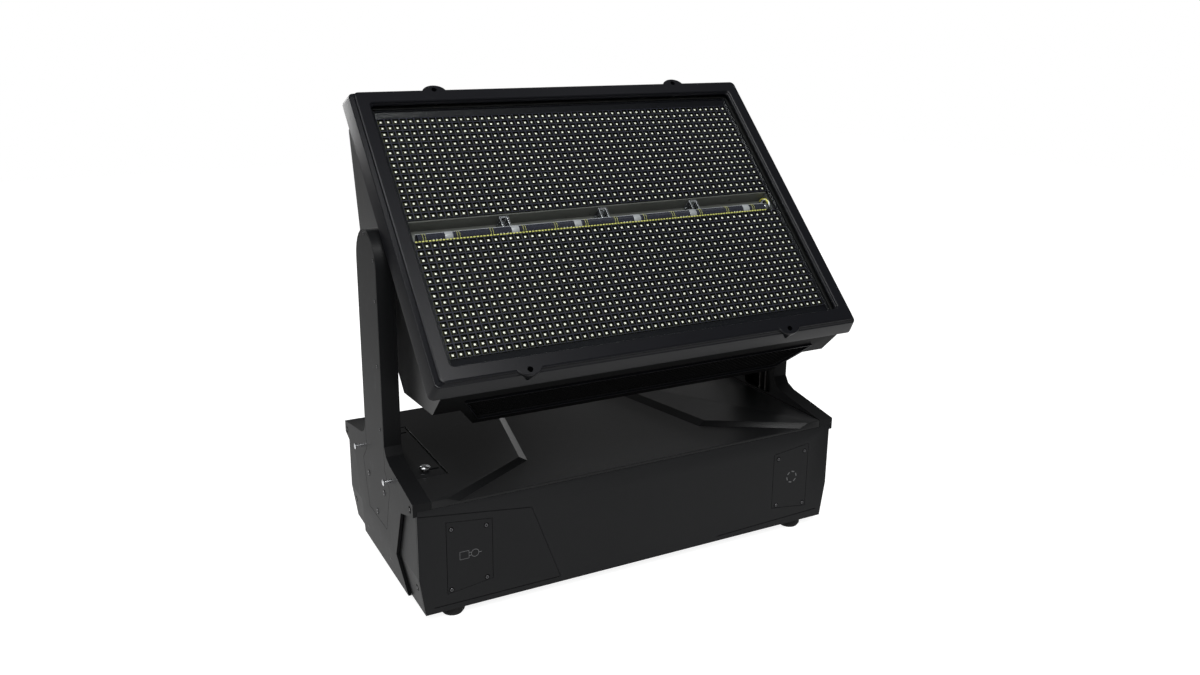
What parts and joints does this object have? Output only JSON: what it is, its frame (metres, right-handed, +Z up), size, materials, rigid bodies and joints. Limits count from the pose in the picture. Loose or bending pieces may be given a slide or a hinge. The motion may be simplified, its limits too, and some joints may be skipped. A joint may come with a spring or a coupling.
{
  "type": "strobe light",
  "caption": "Floor-standing strobe light: a low rectangular base, two short arms and a tilting rectangular lamp head with fields of small white lamps, a central tube and a vented back.",
  "frame": {"origin": "centre of the base's underside, where a bracket or floor plate goes; the rubber feet reach below it", "axes": "+X to the right seen from the front, +Y to the back, +Z up; at rest the lamp head faces forward and 45 degrees up"},
  "size_m": [0.4492, 0.2561, 0.4424],
  "materials": {
    "powder_coat": "satin near-black powder coat",
    "bezel_coat": "satin near-black powder coat, slightly bluish",
    "rubber": "matte",
    "plated_steel": "bright zinc plate",
    "bare_aluminium": "bare, lightly brushed",
    "black_plastic": "matte, finely grained",
    "clear_glass": "clear, polished",
    "lamp_board": "satin solder resist between the lamps",
    "reflector_coat": "dark, half-bright",
    "circuit_green": "satin solder resist",
    "display_black": "glossy"
  },
  "bodies": {
    "base": {"base_tub": "powder_coat", "front_panel": "powder_coat", "access_cover_right": "powder_coat", "access_cover_left": "powder_coat", "rear_panel": "powder_coat", "top_cover": "powder_coat", "service_hatch": "powder_coat", "foot_front_left": "rubber", "foot_rear_left": "rubber", "foot_front_right": "rubber", "foot_rear_right": "rubber", "yoke_left": "powder_coat", "yoke_right": "powder_coat", "yoke_cover_left": "powder_coat", "yoke_cover_right": "powder_coat", "stud_front": "plated_steel", "stud_rear": "plated_steel", "tilt_bearing_left": "plated_steel", "tilt_bearing_right": "plated_steel", "tilt_belt": "rubber", "tilt_motor": "black_plastic", "data_inlet": "black_plastic", "data_outlet": "black_plastic", "power_inlet": "black_plastic", "power_outlet": "black_plastic", "network_socket": "black_plastic", "control_panel": "black_plastic", "display_window": "display_black", "power_supply": "bare_aluminium", "control_board": "circuit_green"},
    "head": {"tilt_axle_left": "bare_aluminium", "tilt_axle_right": "bare_aluminium", "driven_pulley": "bare_aluminium", "bezel": "bezel_coat", "front_glass": "clear_glass", "glass_gasket": "rubber", "lamp_board_upper": "lamp_board", "lamp_board_lower": "lamp_board", "lamp_louvre": "black_plastic", "trough_reflector": "reflector_coat", "clear_tube": "clear_glass", "line_lamp_strip": "circuit_green", "tube_clip_1": "clear_glass", "tube_clip_2": "clear_glass", "tube_clip_3": "clear_glass", "heat_sink": "bare_aluminium", "fan_frame_left": "black_plastic", "fan_frame_right": "black_plastic", "head_housing": "powder_coat", "vent_grille": "powder_coat", "rear_cover": "powder_coat"},
    "motor_shaft": {"motor_pulley": "bare_aluminium"},
    "fan_left": {"fan_rotor_left": "black_plastic"},
    "fan_right": {"fan_rotor_right": "black_plastic"},
    "fastener_front": {"hatch_fastener_front": "plated_steel"},
    "fastener_rear": {"hatch_fastener_rear": "plated_steel"},
    "button_1": {"menu_button_1": "rubber"},
    "button_2": {"menu_button_2": "rubber"},
    "button_3": {"menu_button_3": "rubber"},
    "button_4": {"menu_button_4": "rubber"}
  },
  "joints": [
    {"name": "head_tilt", "type": "hinge", "parent": "base", "child": "head", "pos_m": [0, 0, 0.2875], "axis": [1, 0, 0], "range_deg": [-135, 45]},
    {"name": "motor_turn", "type": "hinge", "parent": "base", "child": "motor_shaft", "pos_m": [-0.212, 0, 0.074], "axis": [1, 0, 0], "range_deg": [-270, 90]},
    {"name": "fan_left_spin", "type": "hinge", "parent": "head", "child": "fan_left", "pos_m": [-0.075, -0.01414, 0.27336], "axis": [0, 0.7071, -0.7071], "continuous": true},
    {"name": "fan_right_spin", "type": "hinge", "parent": "head", "child": "fan_right", "pos_m": [0.075, -0.01414, 0.27336], "axis": [0, 0.7071, -0.7071], "continuous": true},
    {"name": "fastener_front_turn", "type": "hinge", "parent": "base", "child": "fastener_front", "pos_m": [-0.189, -0.044, 0.105], "axis": [0, 0, 1], "range_deg": [0, 90]},
    {"name": "fastener_rear_turn", "type": "hinge", "parent": "base", "child": "fastener_rear", "pos_m": [-0.189, 0.048, 0.105], "axis": [0, 0, 1], "range_deg": [0, 90]},
    {"name": "button_1_press", "type": "slide", "parent": "base", "child": "button_1", "axis": [0, -1, 0], "range_m": [0, 0.0012], "stiffness_N_per_m": 400},
    {"name": "button_2_press", "type": "slide", "parent": "base", "child": "button_2", "axis": [0, -1, 0], "range_m": [0, 0.0012], "stiffness_N_per_m": 400},
    {"name": "button_3_press", "type": "slide", "parent": "base", "child": "button_3", "axis": [0, -1, 0], "range_m": [0, 0.0012], "stiffness_N_per_m": 400},
    {"name": "button_4_press", "type": "slide", "parent": "base", "child": "button_4", "axis": [0, -1, 0], "range_m": [0, 0.0012], "stiffness_N_per_m": 400}
  ],
  "couplings": [
    {"joint": "motor_turn", "follows": "head_tilt", "ratio": 2}
  ]
}
